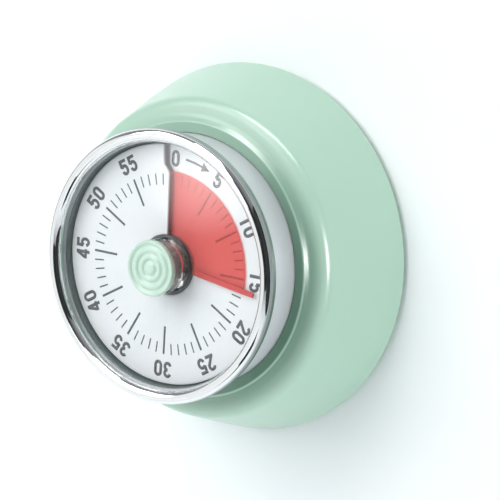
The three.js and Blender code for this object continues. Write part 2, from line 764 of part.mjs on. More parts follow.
// ---- Hammer: a lever on a pin, with its head by the gong and its tail on the cam ----
const hammerHead = polar(GONG_R + HAMMER_GAP + HAMMER_HEAD_R, HAMMER_HEAD_ANGLE);
const tailEnd = { x: 0.5, y: CAM_R + 1 };
const hammerBack = camBack;
const hammerFront = camBack + CAM_T;
add('hammer_arm', cut(
  joined(
    rod(2, hammerBack, hammerFront, hammerPivot),
    bar(hammerPivot, hammerHead, 1.3, hammerBack, hammerFront),
    bar(hammerPivot, tailEnd, 1.2, hammerBack, hammerFront),
    rod(HAMMER_HEAD_R, gongBack + 0.5, hammerFront, hammerHead),
  ),
  rod(HAMMER_PIN_R + RUN, hammerBack - 1, hammerFront + 1, hammerPivot),
), 'steel');
add('hammer_pin', rod(HAMMER_PIN_R, hammerBack - 0.4, rearPlateFront, hammerPivot), 'steel');

// A leaf spring that hangs from a stud on the rear plate and presses on the tail.
const leafStud = polar(11.5, 78);
const leafTip = { x: 6, y: tailEnd.y + 1.6 };
add('hammer_spring', joined(
  rod(1, hammerBack, rearPlateBack - FIT, leafStud),
  bar(leafStud, leafTip, 0.3, hammerBack, hammerFront),
), 'blued');

export default timer;
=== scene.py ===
"""Wall-mounted kitchen timer: the looks of each visible piece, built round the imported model.

Lengths in the sections are millimetres until a mesh is made. A height is the distance out
from the wall, and an angle runs clockwise from the 0 mark as the dial is read.
"""

import bpy
import numpy as np
from mathutils import Matrix


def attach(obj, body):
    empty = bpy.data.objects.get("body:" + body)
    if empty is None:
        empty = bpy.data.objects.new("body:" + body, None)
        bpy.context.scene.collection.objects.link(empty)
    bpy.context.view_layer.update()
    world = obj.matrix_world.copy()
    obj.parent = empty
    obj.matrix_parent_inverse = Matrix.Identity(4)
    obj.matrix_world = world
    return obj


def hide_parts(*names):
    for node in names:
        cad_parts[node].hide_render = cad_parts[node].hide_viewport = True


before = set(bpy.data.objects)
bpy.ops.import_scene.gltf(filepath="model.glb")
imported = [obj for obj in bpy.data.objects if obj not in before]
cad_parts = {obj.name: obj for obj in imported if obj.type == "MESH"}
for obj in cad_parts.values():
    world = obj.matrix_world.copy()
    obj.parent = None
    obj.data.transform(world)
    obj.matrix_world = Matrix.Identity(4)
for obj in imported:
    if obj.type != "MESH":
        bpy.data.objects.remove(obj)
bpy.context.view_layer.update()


# ---- Camera ------------------------------------------------------------------------------
# It looks at the dial from the timer's right, a little from above, with a long lens. It is
# turned a little about its own line of sight.
CAMERA_AZIMUTH, CAMERA_ELEVATION, CAMERA_ROLL = np.radians([35.1435, 11.5675, 3.2751])
CAMERA_DISTANCE, CAMERA_LENS, SENSOR_WIDTH = 580.0, 220.55, 36.0
CAMERA_SLIDE, CAMERA_LIFT = -0.2856, -0.7651  # sideways and upward, to frame the timer

towards_camera = np.array([
    np.sin(CAMERA_AZIMUTH) * np.cos(CAMERA_ELEVATION),
    -np.cos(CAMERA_AZIMUTH) * np.cos(CAMERA_ELEVATION),
    np.sin(CAMERA_ELEVATION),
])
level_right = np.array([np.cos(CAMERA_AZIMUTH), np.sin(CAMERA_AZIMUTH), 0.0])
level_up = np.cross(towards_camera, level_right)
camera_right = np.cos(CAMERA_ROLL) * level_right + np.sin(CAMERA_ROLL) * level_up
camera_up = np.cos(CAMERA_ROLL) * level_up - np.sin(CAMERA_ROLL) * level_right
camera_place = CAMERA_DISTANCE * towards_camera + CAMERA_SLIDE * camera_right + CAMERA_LIFT * camera_up

camera = bpy.data.objects.new("camera", bpy.data.cameras.new("camera"))
camera_matrix = np.eye(4)
camera_matrix[:3, 0] = camera_right
camera_matrix[:3, 1] = camera_up
camera_matrix[:3, 2] = towards_camera
camera_matrix[:3, 3] = camera_place / 1000
camera.matrix_world = Matrix(camera_matrix.tolist())
camera.data.sensor_width = SENSOR_WIDTH
camera.data.lens = CAMERA_LENS
camera.data.clip_start = 0.01
camera.data.clip_end = 10
bpy.context.scene.collection.objects.link(camera)
bpy.context.scene.camera = camera
bpy.context.scene.view_settings.view_transform = "Standard"


# ---- Wall and floor ------------------------------------------------------------------------
# A pale wall that the timer hangs on, sweeping forward into a pale floor below it. Seen
# from behind it is clear, so that the timer's back shows.
WALL_HALF_WIDTH, WALL_TOP, SWEEP_RADIUS = 1400.0, 1300.0, 250.0
FLOOR_LEVEL, FLOOR_REACH, WALL_GAP = -330.0, 1700.0, 0.15
WALL_GLOW = 0.02  # the wall's own faint light, as a lit backdrop has


def procedural(name):
    """A node material with its Principled shader and the object's own coordinates."""
    material = bpy.data.materials.new(name)
    material.use_nodes = True
    nodes, links = material.node_tree.nodes, material.node_tree.links
    place = nodes.new("ShaderNodeTexCoord").outputs["Object"]
    return material, nodes, links, nodes["Principled BSDF"], place


def noise(nodes, links, place, stretch, detail=2.0):
    """A noise value whose grains are 1/stretch metres long along each axis."""
    mapping = nodes.new("ShaderNodeMapping")
    mapping.inputs["Scale"].default_value = stretch if np.ndim(stretch) else (stretch,) * 3
    links.new(place, mapping.inputs["Vector"])
    grain = nodes.new("ShaderNodeTexNoise")
    grain.inputs["Scale"].default_value = 1.0
    grain.inputs["Detail"].default_value = detail
    links.new(mapping.outputs["Vector"], grain.inputs["Vector"])
    return grain.outputs["Fac"]


def spread(nodes, links, value, low, high, start=0.3, stop=0.7):
    """The value from start to stop, spread over low to high."""
    remap = nodes.new("ShaderNodeMapRange")
    for socket, number in zip(("From Min", "From Max", "To Min", "To Max"), (start, stop, low, high)):
        remap.inputs[socket].default_value = number
    links.new(value, remap.inputs["Value"])
    return remap.outputs["Result"]


def blended(nodes, links, share, first, second):
    """The first colour where share is 0 and the second where it is 1."""
    mix = nodes.new("ShaderNodeMix")
    mix.data_type = "RGBA"
    links.new(share, mix.inputs["Factor"])
    for socket, colour in (("A", first), ("B", second)):
        target = [s for s in mix.inputs if s.name == socket and s.type == "RGBA"][0]
        if hasattr(colour, "is_linked"):
            links.new(colour, target)
        else:
            target.default_value = (*colour, 1)
    return [s for s in mix.outputs if s.type == "RGBA"][0]


def finished(name, colour, shade, roughness, bump=0.0, grain=900.0, patch=60.0, **sockets):
    """A finish: colour drifting to shade in soft patches, roughness between two values and
    a fine bump, with the shader's other sockets set to plain numbers."""
    material, nodes, links, shader, place = procedural(name)
    drift = spread(nodes, links, noise(nodes, links, place, patch), 0, 1)
    links.new(blended(nodes, links, drift, colour, shade), shader.inputs["Base Color"])
    fine = noise(nodes, links, place, grain)
    links.new(spread(nodes, links, fine, *roughness), shader.inputs["Roughness"])
    if bump:
        relief = nodes.new("ShaderNodeBump")
        relief.inputs["Strength"].default_value = 1.0
        relief.inputs["Distance"].default_value = bump / 1000
        links.new(fine, relief.inputs["Height"])
        links.new(relief.outputs["Normal"], shader.inputs["Normal"])
    for socket, number in sockets.items():
        shader.inputs[socket.replace("_", " ")].default_value = number
    return material


bend = np.linspace(0, np.pi / 2, 24)
sweep_y = np.concatenate([
    [WALL_GAP], WALL_GAP - SWEEP_RADIUS * (1 - np.cos(bend)), [-FLOOR_REACH],
])
sweep_z = np.concatenate([
    [WALL_TOP], FLOOR_LEVEL + SWEEP_RADIUS * (1 - np.sin(bend)), [FLOOR_LEVEL],
])
rows = len(sweep_y)
sweep_points = np.concatenate([
    np.stack([np.full(rows, side * WALL_HALF_WIDTH), sweep_y, sweep_z], -1) for side in (-1, 1)
]) / 1000
step = np.arange(rows - 1)
sweep_faces = np.stack([step, step + 1, step + 1 + rows, step + rows], -1)
wall_mesh = bpy.data.meshes.new("wall_and_floor")
wall_mesh.from_pydata(sweep_points.tolist(), [], sweep_faces.tolist())
wall_mesh.polygons.foreach_set("use_smooth", [True] * len(wall_mesh.polygons))
wall = bpy.data.objects.new("wall_and_floor", wall_mesh)
bpy.context.scene.collection.objects.link(wall)

paint = finished("pale_wall_paint", (0.90, 0.935, 0.945), (0.885, 0.925, 0.94), (0.7, 0.8), grain=300)
nodes, links = paint.node_tree.nodes, paint.node_tree.links
shader = nodes["Principled BSDF"]
clear_behind = nodes.new("ShaderNodeMixShader")
links.new(nodes.new("ShaderNodeNewGeometry").outputs["Backfacing"], clear_behind.inputs["Fac"])
links.new(shader.outputs["BSDF"], clear_behind.inputs[1])
links.new(nodes.new("ShaderNodeBsdfTransparent").outputs["BSDF"], clear_behind.inputs[2])
links.new(clear_behind.outputs["Shader"], nodes["Material Output"].inputs["Surface"])
shader.inputs["Emission Color"].default_value = (0.95, 0.985, 1.0, 1)
shader.inputs["Emission Strength"].default_value = WALL_GLOW
wall_mesh.materials.append(paint)
wall.visible_shadow = False


# ---- Lights ----------------------------------------------------------------------------------
# A tent of pale cloth, a wide soft lamp high on the left, smaller ones overhead and at the
# right, two strip lamps for the lacquer, and a lamp behind the wall for the timer's back.
# Dark and white cards stand where the chrome mirrors them.
def facing(place, direction):
    """A matrix at a place in millimetres with its third axis along a direction and, unless
    that points nearly straight up or down, its first axis level."""
    third = np.array(direction, float)
    third /= np.linalg.norm(third)
    first = np.cross((0, 0, 1), third) if abs(third[2]) < 0.95 else np.array([1.0, 0, 0])
    first = first / np.linalg.norm(first)
    matrix = np.eye(4)
    matrix[:3, 0], matrix[:3, 1], matrix[:3, 2] = first, np.cross(third, first), third
    matrix[:3, 3] = np.array(place) / 1000
    return Matrix(matrix.tolist())


def lamp(name, place, aim, width, height, watts, **visible):
    """A rectangular soft lamp at a place in millimetres, facing the aim point. The camera
    doesn't see it, and other rays may be kept from it too."""
    light = bpy.data.lights.new(name, "AREA")
    light.shape = "RECTANGLE"
    light.size, light.size_y = width / 1000, height / 1000
    light.energy = watts
    holder = bpy.data.objects.new(name, light)
    holder.matrix_world = facing(place, np.subtract(place, aim))
    bpy.context.scene.collection.objects.link(holder)
    holder.visible_camera = False
    for ray, shown in visible.items():
        setattr(holder, ray, shown)
    return holder


lamp("key_lamp", (-400, -820, 440), (0, 0, 0), 820, 820, 8.9)
lamp("top_lamp", (-60, -420, 700), (0, 0, 0), 300, 300, 1.1)
side_lamp = lamp("side_lamp", (640, -150, 20), (0, 0, 0), 240, 420, 1.9, visible_glossy=False)
strips = (
    lamp("strip_above", (60, -260, 560), (0, -15, 0), 460, 120, 3.0, visible_diffuse=False),
    lamp("strip_right", (570, -400, 20), (0, -20, 0), 110, 110, 4.5, visible_diffuse=False),
)
lamp("back_lamp", (0, 600, 200), (0, 0, 0), 700, 700, 8.0)

# The tent's cloth glows at the sides, close to the wall, and is dim in front. The two shares
# are how far forward the way to the cloth points, where it is wholly dim and wholly bright.
SIDE_GLOW, FRONT_GLOW = 0.3, 0.14
DIM_SHARE, BRIGHT_SHARE = -0.75, -0.3
tent = bpy.data.worlds.new("tent")
tent.use_nodes = True
bpy.context.scene.world = tent
nodes, links = tent.node_tree.nodes, tent.node_tree.links
outward = nodes.new("ShaderNodeSeparateXYZ")
links.new(nodes.new("ShaderNodeTexCoord").outputs["Generated"], outward.inputs["Vector"])
cloth = spread(nodes, links, outward.outputs["Y"], FRONT_GLOW, SIDE_GLOW, DIM_SHARE, BRIGHT_SHARE)
links.new(cloth, nodes["Background"].inputs["Strength"])
nodes["Background"].inputs["Color"].default_value = (0.96, 0.985, 1.0, 1)

CARD_BLACK = (0.01, 0.012, 0.012)


def card(name, place, aim, width, height, glow=0.0, soft=None):
    """A flat black card that only shiny surfaces see. Glow is its brightness; a soft card is
    round and fades out from that share of its half width to its edge."""
    half_width, half_height = width / 2000, height / 2000
    mesh = bpy.data.meshes.new(name)
    signs = ((-1, -1), (1, -1), (1, 1), (-1, 1))
    corners = [(right * half_width, up * half_height, 0) for right, up in signs]
    mesh.from_pydata(corners, [], [(0, 1, 2, 3)])
    holder = bpy.data.objects.new(name, mesh)
    holder.matrix_world = facing(place, np.subtract(aim, place))
    bpy.context.scene.collection.objects.link(holder)
    material, nodes, links, shader, middle = procedural(name)
    shader.inputs["Base Color"].default_value = (*CARD_BLACK, 1)
    shader.inputs["Roughness"].default_value = 1.0
    shader.inputs["Emission Color"].default_value = (1, 1, 1, 1)
    shader.inputs["Emission Strength"].default_value = glow
    if soft:
        away = nodes.new("ShaderNodeVectorMath")
        away.operation = "LENGTH"
        links.new(middle, away.inputs[0])
        fade = nodes.new("ShaderNodeMixShader")
        faded = spread(nodes, links, away.outputs["Value"], 0, 1, soft * half_width, half_width)
        links.new(faded, fade.inputs["Fac"])
        links.new(shader.outputs["BSDF"], fade.inputs[1])
        links.new(nodes.new("ShaderNodeBsdfTransparent").outputs["BSDF"], fade.inputs[2])
        links.new(fade.outputs["Shader"], nodes["Material Output"].inputs["Surface"])
    mesh.materials.append(material)
    for ray in ("camera", "diffuse", "shadow", "transmission", "volume_scatter"):
        setattr(holder, "visible_" + ray, False)


card("dark_card_right", (420, -400, 95), (0, -400, 95), 780, 650)
card("dark_card_front", (130, -830, 95), (0, -30, 60), 580, 560)
card("dark_card_low", (60, -400, -300), (60, -400, 0), 300, 260)
card("white_card_low", (-120, -120, -320), (0, -30, 0), 560, 420, glow=0.95)
card("white_card_left", (-450, -480, -80), (0, -30, 0), 820, 600, glow=0.95)
card("lens_glow", (-78, -149, -7), (5, -28, 23), 32, 32, glow=9.0, soft=0.1)


# ---- Body shell --------------------------------------------------------------------------------
# A thin deep-drawn steel pressing, sprayed in glossy mint lacquer: a rim band against the
# wall, a long tapering skirt, a round shoulder and a groove that rises to a sharp crest.
def softened(corners, reach, steps):
    """A closed outline with each corner rounded: between the points that lie reach before
    and after the corner it follows a parabola, and a plain strip joins it to each side."""
    longest_share, strip_share = 0.45, 0.1
    corners = np.array(corners, float)
    before, after = np.roll(corners, 1, 0) - corners, np.roll(corners, -1, 0) - corners
    long_before = np.linalg.norm(before, axis=1, keepdims=True)
    long_after = np.linalg.norm(after, axis=1, keepdims=True)
    reach = np.broadcast_to(np.array(reach, float).reshape(-1, 1), (len(corners), 1))
    reach = np.minimum(reach, longest_share * np.minimum(long_before, long_after))
    start = corners + before / long_before * reach
    stop = corners + after / long_after * reach
    t = np.linspace(0, 1, steps)[None, :, None]
    arc = start[:, None] * (1 - t) ** 2 + 2 * corners[:, None] * t * (1 - t) + stop[:, None] * t ** 2
    strip = reach * strip_share
    lead = start + before / long_before * strip
    tail = stop + after / long_after * strip
    return np.concatenate([lead[:, None], arc, tail[:, None]], 1).reshape(-1, 2)


def piece(name, points, faces, material, body, slot, *replaced):
    """Makes an object of points in millimetres, given as distance to the right, height out
    from the wall and distance up, and puts its faces outward by the sign of its volume. A
    face with the same corner twice is a triangle."""
    right, height, up = points.T
    places = np.stack([right, -height, up], -1) / 1000
    first, second, third, fourth = (places[faces[:, corner]] for corner in range(4))
    volume = np.einsum("ij,ij->", first, np.cross(second, third))
    volume += np.einsum("ij,ij->", first, np.cross(third, fourth))
    if volume < 0:
        faces = faces[:, ::-1]
    mesh = bpy.data.meshes.new(name)
    mesh.from_pydata(places.tolist(), [], [list(dict.fromkeys(face)) for face in faces.tolist()])
    mesh.polygons.foreach_set("use_smooth", [True] * len(mesh.polygons))
    mesh.materials.append(material)
    made = bpy.data.objects.new(name, mesh)
    bpy.context.scene.collection.objects.link(made)
    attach(made, body)
    if replaced:
        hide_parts(*replaced)
    return made


def carried_round(outline, around):
    """The points of an outline of (radius, height) at equal steps round the timer's axis:
    right = radius times sin angle, up = radius times cos angle."""
    angle = np.linspace(0, 2 * np.pi, around, endpoint=False)[:, None]
    radius, height = np.array(outline, float).T[:, None]
    points = np.stack([radius * np.sin(angle), height + 0 * angle, radius * np.cos(angle)], -1)
    return points.reshape(-1, 3)


def turned(outline, around):
    """Points and faces of a closed outline carried round the axis, as a ring."""
    n = len(outline)
    i, j = np.meshgrid(np.arange(around), np.arange(n), indexing="ij")
    here, there = i * n, (i + 1) % around * n
    after = (j + 1) % n
    faces = np.stack([here + j, here + after, there + after, there + j], -1).reshape(-1, 4)
    return carried_round(outline, around), faces


def solid_turned(outline, around):
    """As turned, for an outline that starts and ends on the axis: its ends are poles, each
    with a fan of triangles."""
    outline = np.array(outline, float)
    n = len(outline) - 2
    poles = np.array([[0, outline[0, 1], 0], [0, outline[-1, 1], 0]])
    i, j = np.meshgrid(np.arange(around), np.arange(n - 1), indexing="ij")
    here, there = i * n, (i + 1) % around * n
    walls = np.stack([here + j, here + j + 1, there + j + 1, there + j], -1).reshape(-1, 4)
    here, there = here[:, 0], there[:, 0]
    start_pole, end_pole = np.full(around, around * n), np.full(around, around * n + 1)
    start_fan = np.stack([start_pole, here, there, there], -1)
    end_fan = np.stack([end_pole, there + n - 1, here + n - 1, here + n - 1], -1)
    points = np.concatenate([carried_round(outline[1:-1], around), poles])
    return points, np.concatenate([walls, start_fan, end_fan])


def combined(nodes, links, operation, first, second):
    """Two values put together by a plain operation, such as the greater of them."""
    maths = nodes.new("ShaderNodeMath")
    maths.operation = operation
    links.new(first, maths.inputs[0])
    links.new(second, maths.inputs[1])
    return maths.outputs["Value"]


def by_radius(nodes, links, place, low, high, start, stop):
    """A value that goes from low to high between two distances from the timer's axis."""
    flattened = nodes.new("ShaderNodeVectorMath")
    flattened.operation = "MULTIPLY"
    flattened.inputs[1].default_value = (1, 0, 1)
    links.new(place, flattened.inputs[0])
    radius = nodes.new("ShaderNodeVectorMath")
    radius.operation = "LENGTH"
    links.new(flattened.outputs["Vector"], radius.inputs[0])
    return spread(nodes, links, radius.outputs["Value"], low, high, start / 1000, stop / 1000)


RIM_R, RIM_BACK = 35.0, 0.8
CREST_R, CREST_HEIGHT = 25.62, 19.5
MOUTH_R = 23.62
shell_outline = softened(
    [
        (34.15, RIM_BACK), (RIM_R, RIM_BACK), (33.3, 6.8), (29.75, 17.9), (26.6, 18.62),
        (CREST_R, CREST_HEIGHT), (MOUTH_R, CREST_HEIGHT), (MOUTH_R, 18.7), (25.5, 18.7),
        (26.3, 17.95), (29.1, 17.15), (32.5, 6.7),
    ],
    [0.2, 0.35, 1.4, 1.75, 1.0, 0.1, 0.12, 0.1, 0.1, 0.3, 0.8, 0.8],
    12,
)
mint = finished(
    "mint_lacquer_finish", (0.382, 0.572, 0.458), (0.372, 0.56, 0.447), (0.325, 0.335),
    bump=0.00005, grain=500, patch=45, Coat_Weight=0.4, Coat_Roughness=0.25,
)

# Painted shade: the lacquer's colour is darkened in the groove round the drum, most of all at the lower
# right, where the drum's shadow falls. The crest itself is left out of it, and on the crest's flat top
# the painted shade is a little deeper again.
GROOVE_SHADE_COLOUR = (0.10, 0.22, 0.15)
SHADE_TOWARDS = (0.84, 0, -0.54)  # towards the lower right
SHADE_START, SHADE_STOP = -10, 24  # how far that way the painted shade starts and stops deepening
LEAST_SHADE, FLAT_TOP_SHADE = 0.15, 0.42
nodes, links = mint.node_tree.nodes, mint.node_tree.links
mint_base = nodes["Principled BSDF"].inputs["Base Color"]
unshaded_lacquer = mint_base.links[0].from_socket
spot = nodes.new("ShaderNodeTexCoord").outputs["Object"]
off_crest = combined(
    nodes, links, "MAXIMUM",
    by_radius(nodes, links, spot, 1, 0, 25.3, 25.5), by_radius(nodes, links, spot, 0, 1, 25.6, 25.9),
)
lower_right = nodes.new("ShaderNodeVectorMath")
lower_right.operation = "DOT_PRODUCT"
lower_right.inputs[1].default_value = SHADE_TOWARDS
links.new(spot, lower_right.inputs[0])
shaded_side = spread(
    nodes, links, lower_right.outputs["Value"], LEAST_SHADE, 1, SHADE_START / 1000, SHADE_STOP / 1000,
)
painted_shade = combined(nodes, links, "MULTIPLY", by_radius(nodes, links, spot, 1, 0, 25.8, 28.7), shaded_side)
painted_shade = combined(nodes, links, "MULTIPLY", painted_shade, off_crest)
flat_top_shade = by_radius(nodes, links, spot, FLAT_TOP_SHADE, 0, 25.4, 25.6)
painted_shade = combined(nodes, links, "MAXIMUM", painted_shade, flat_top_shade)
# The painted shade blends the lacquer's colour towards a dark green in the groove.
links.new(blended(nodes, links, painted_shade, unshaded_lacquer, GROOVE_SHADE_COLOUR), mint_base)
lacquered_body = piece(
    "body_lacquered", *turned(shell_outline, 360), mint, "timer_body", "mint_lacquer", "body_shell",
)

# The two strip lamps put their highlights on the lacquer alone.
lacquered_only = bpy.data.collections.new("lacquered_only")
lacquered_only.objects.link(lacquered_body)
for strip in strips:
    strip.light_linking.receiver_collection = lacquered_only


# ---- Drum ----------------------------------------------------------------------------------------
# A turned aluminium drum that stands out of the body's mouth. Its bore above the dial is coloured a
# dark grey-green: painted shade for the shaded bore and the dark edge of the lens.
DRUM_R, DRUM_BORE, DRUM_FRONT = 23.55, 22.5, 27.4
FLANGE_R, FLANGE_BACK, FLANGE_FRONT, FLANGE_BORE = 25.3, 17.35, 18.45, 19.0
LEDGE_BORE, LEDGE_BACK, LEDGE_FRONT = 20.5, 21.3, 22.3
drum_outline = softened(
    [
        (FLANGE_BORE, FLANGE_BACK), (FLANGE_R, FLANGE_BACK), (FLANGE_R, FLANGE_FRONT),
        (DRUM_R, FLANGE_FRONT), (DRUM_R, DRUM_FRONT), (DRUM_BORE, DRUM_FRONT),
        (DRUM_BORE, LEDGE_FRONT), (LEDGE_BORE, LEDGE_FRONT), (LEDGE_BORE, LEDGE_BACK),
        (DRUM_BORE, LEDGE_BACK), (DRUM_BORE, FLANGE_FRONT), (FLANGE_BORE, FLANGE_FRONT),
    ],
    0.12, 5,
)
satin, nodes, links, shader, place = procedural("turned_aluminium")
lathe_marks = noise(nodes, links, place, (120, 9000, 120), 3)
turned_colour = blended(nodes, links, lathe_marks, (0.655, 0.665, 0.70), (0.67, 0.68, 0.712))
# Painted shade: inside 22.6 mm from the axis the drum is coloured dark grey-green.
outside = by_radius(nodes, links, place, 0, 1, 22.6, 22.8)
drum_colour = blended(nodes, links, outside, (0.045, 0.085, 0.082), turned_colour)
links.new(drum_colour, shader.inputs["Base Color"])
links.new(spread(nodes, links, lathe_marks, 0.33, 0.345), shader.inputs["Roughness"])
shader.inputs["Metallic"].default_value = 0.35
relief = nodes.new("ShaderNodeBump")
relief.inputs["Distance"].default_value = 0.0000004
links.new(lathe_marks, relief.inputs["Height"])
links.new(relief.outputs["Normal"], shader.inputs["Normal"])
drum = piece("drum_turned", *turned(drum_outline, 256), satin, "timer_body", "satin_drum", "drum")

# The side lamp lights only the body and the drum, so the shadow on the wall stays.
sidelit = bpy.data.collections.new("sidelit")
sidelit.objects.link(lacquered_body)
sidelit.objects.link(drum)
side_lamp.light_linking.receiver_collection = sidelit


# ---- Bezel ---------------------------------------------------------------------------------------
# A drawn ring in polished chrome over the drum's front, with a fully rolled lip. Its outermost edge is
# coloured dark: a painted shadow and dark reflection along that edge.
ROLL_R, ROLL_CENTRE, ROLL_HEIGHT = 1.25, 24.15, 28.9

# The outline is the flaring skirt, the roll as half a circle, and the lip's flat under side.
roll = np.linspace(0, np.pi, 32)
bezel_outline = np.concatenate([
    [(23.8, 26.62), (24.35, 26.6), (24.55, 26.66), (25.0, 27.25), (25.1, 27.45), (25.25, 27.9)],
    np.stack([ROLL_CENTRE + ROLL_R * np.cos(roll), ROLL_HEIGHT + ROLL_R * np.sin(roll)], -1),
    [(22.94, 28.82), (23.05, 28.8), (23.75, 28.8), (23.8, 28.74)],
])
chrome = finished(
    "polished_chrome", (0.86, 0.875, 0.88), (0.83, 0.85, 0.86), (0.035, 0.075),
    bump=0.00002, grain=700, patch=80, Metallic=1.0,
)
nodes, links = chrome.node_tree.nodes, chrome.node_tree.links
chrome_base = nodes["Principled BSDF"].inputs["Base Color"]
bright = chrome_base.links[0].from_socket
place = nodes.new("ShaderNodeTexCoord").outputs["Object"]
# Painted shade: the chrome's colour turns dark over the ring's outermost edge.
outermost = by_radius(nodes, links, place, 0, 1, 25.16, 25.34)
links.new(blended(nodes, links, outermost, bright, (0.30, 0.315, 0.315)), chrome_base)
piece("bezel_chromed", *turned(bezel_outline, 320), chrome, "timer_body", "bezel_chrome", "bezel")


# ---- Lens ----------------------------------------------------------------------------------------
# A flat clear acrylic disc that the bezel's lip holds down over the dial, with a hole for
# the knob.
LENS_HOLE, LENS_R, LENS_BACK, LENS_FRONT = 5.0, 23.55, 27.65, 28.55
lens_outline = softened([
    (LENS_HOLE, LENS_BACK), (LENS_R, LENS_BACK), (LENS_R, LENS_FRONT), (LENS_HOLE, LENS_FRONT),
], 0.08, 4)
clear = finished(
    "clear_acrylic", (1, 1, 1), (0.985, 0.995, 0.99), (0.0, 0.012),
    grain=300, patch=100, Transmission_Weight=1.0, IOR=1.46,
)
lens = piece("lens_clear_disc", *turned(lens_outline, 192), clear, "timer_body", "lens_clear", "lens")
lens.visible_shadow = False
lens.visible_diffuse = False


# ---- Dial plate ----------------------------------------------------------------------------------
# One turn of a shallow helix moulded in matt white plastic. It is cut at 0 for the film,
# and the cut steps back outside the film.
DIAL_LOW, DIAL_RISE, DIAL_T = 25.05, 1.3, 0.4
DIAL_HOLE, DIAL_EDGE, FILM_EDGE = 5.62, 22.25, 17.3
DIAL_TURN = 359.3
CUT_AT, CUT_BACK = -0.55, 3.65  # degrees: the cut beside the film, and its step back outside
SLOPE_FROM, SLOPE_WIDTH = 17.1, 1.5


def dial_height(angle):
    """The dial's face rises evenly by DIAL_RISE over a turn."""
    return DIAL_LOW + DIAL_RISE * angle / 360


def cut_angle(radius):
    """Where the dial starts: near 0 inside the film's edge, stepping back over a short
    slope outside it."""
    share = np.clip((radius - SLOPE_FROM) / SLOPE_WIDTH, 0, 1)
    return CUT_AT - CUT_BACK * share * share * (3 - 2 * share)


def wound(section, start, stop, rise, along):
    """A closed section of (radius, height) carried along a helix from start to stop, which
    may vary with the radius: right = radius times sin angle, up = radius times cos angle,
    and the height gains rise(angle). The ends are closed by flat caps made of strips."""
    radius, height = np.array(section, float).T[:, None]
    share = np.linspace(0, 1, along)[:, None]
    begin = start(radius) if callable(start) else start
    end = stop(radius) if callable(stop) else stop
    angle = begin + (end - begin) * share + 0 * radius
    turn = np.radians(angle)
    points = np.stack([radius * np.sin(turn), height + rise(angle), radius * np.cos(turn)], -1)
    n = len(section)
    i, j = np.meshgrid(np.arange(along - 1), np.arange(n), indexing="ij")
    after = (j + 1) % n
    walls = np.stack([i * n + j, i * n + after, (i + 1) * n + after, (i + 1) * n + j], -1)
    half = np.arange(n // 2 - 1)
    mirror = n - 1 - half
    cap = np.stack([half, mirror, mirror - 1, half + 1], -1)
    end_cap = (along - 1) * n + cap[:, ::-1]
    return points.reshape(-1, 3), np.concatenate([walls.reshape(-1, 4), cap, end_cap])


def strip_section(inner, outer, thickness, across=24, corner=0.05):
    """A thin closed section: an under side from inner to outer and a top back again, each
    with the same places across, so that the ends can be capped strip by strip."""
    margin = 0.3
    middle = np.linspace(inner + margin, outer - margin, across)
    radius = np.concatenate([[inner, inner + corner], middle, [outer - corner, outer]])
    dip = np.concatenate([[corner], np.zeros(len(radius) - 2), [corner]])
    under = np.stack([radius, dip], -1)
    top = np.stack([radius, thickness - dip], -1)[::-1]
    return np.concatenate([under, top])


dial_white = finished(
    "dial_white_plastic", (0.765, 0.795, 0.815), (0.755, 0.785, 0.805), (0.42, 0.5),
    bump=0.0012, grain=2600, patch=50,
)
dial_section = strip_section(DIAL_HOLE, DIAL_EDGE, DIAL_T) - (0, DIAL_T)
dial = wound(dial_section, cut_angle, lambda radius: cut_angle(radius) + DIAL_TURN, dial_height, 420)
piece("dial_helix", *dial, dial_white, "timer_body", "dial_white", "dial_plate")


# ---- Dial print ----------------------------------------------------------------------------------
# Minute marks, numerals every five minutes and a winding arrow, screen-printed in dark
# grey ink on the dial's face.
INK_T, INK_SINK = 0.02, 0.04
MARK_OUT, LONG_IN, SHORT_IN = 16.8, 11.6, 14.75
LONG_W, SHORT_W = 0.42, 0.26
NUMERAL_R, NUMERAL_H, NUMERAL_W, NUMERAL_GAP, STROKE = 19.62, 3.05, 1.8, 0.34, 0.59
half_w = (NUMERAL_W - STROKE) / 2
half_h = (NUMERAL_H - STROKE) / 2
low_bow = half_h * 0.62


def bow(x, y, wide, tall, start, stop, steps=20):
    """Part of an ellipse about (x, y), from start to stop degrees."""
    t = np.radians(np.linspace(start, stop, steps))
    return np.stack([x + wide * np.cos(t), y + tall * np.sin(t)], -1)


def line(*ends, steps=6):
    """A straight line through the ends, evenly divided."""
    ends = np.array(ends, float)
    t = np.linspace(0, len(ends) - 1, (len(ends) - 1) * steps + 1)
    k = np.arange(len(ends))
    return np.stack([np.interp(t, k, ends[:, 0]), np.interp(t, k, ends[:, 1])], -1)


# Each digit is a few pen strokes, about its own middle.
DIGITS = {
    "0": [np.concatenate([
        bow(0, half_h - half_w * 1.1, half_w, half_w * 1.1, 0, 180),
        bow(0, -half_h + half_w * 1.1, half_w, half_w * 1.1, 180, 360),
        [(half_w, half_h - half_w * 1.1)],
    ])],
    "1": [line((0.12, -NUMERAL_H / 2), (0.12, NUMERAL_H / 2)),
          line((0.1, half_h - 0.02), (-0.62, half_h - 0.42))],
    "2": [np.concatenate([
        bow(0, half_h - half_w, half_w, half_w, 172, -22),
        line(
            (half_w * 0.8, half_h - half_w * 1.55), (-half_w * 0.75, -half_h + 0.22),
            (-half_w - 0.02, -half_h),
        ),
    ]), line((-half_w - STROKE / 2, -half_h), (half_w + STROKE / 2, -half_h))],
    "3": [np.concatenate([
        bow(0, half_h * 0.52, half_w, half_h * 0.48, 168, -90),
        bow(0, -half_h * 0.48, half_w, half_h * 0.52, 90, -168),
    ])],
    "4": [line((0.32, -NUMERAL_H / 2), (0.32, NUMERAL_H / 2)),
          line((0.22, half_h + 0.1), (-half_w - 0.1, -half_h * 0.45)),
          line((-half_w - 0.32, -half_h * 0.5), (half_w + 0.22, -half_h * 0.5))],
    "5": [line((half_w + 0.12, half_h), (-half_w + 0.02 - STROKE / 2, half_h)),
          line((-half_w + 0.04, half_h), (-half_w - 0.02, 0.0)),
          bow(0, -half_h + low_bow, half_w, low_bow, 152, -165, 30)],
}


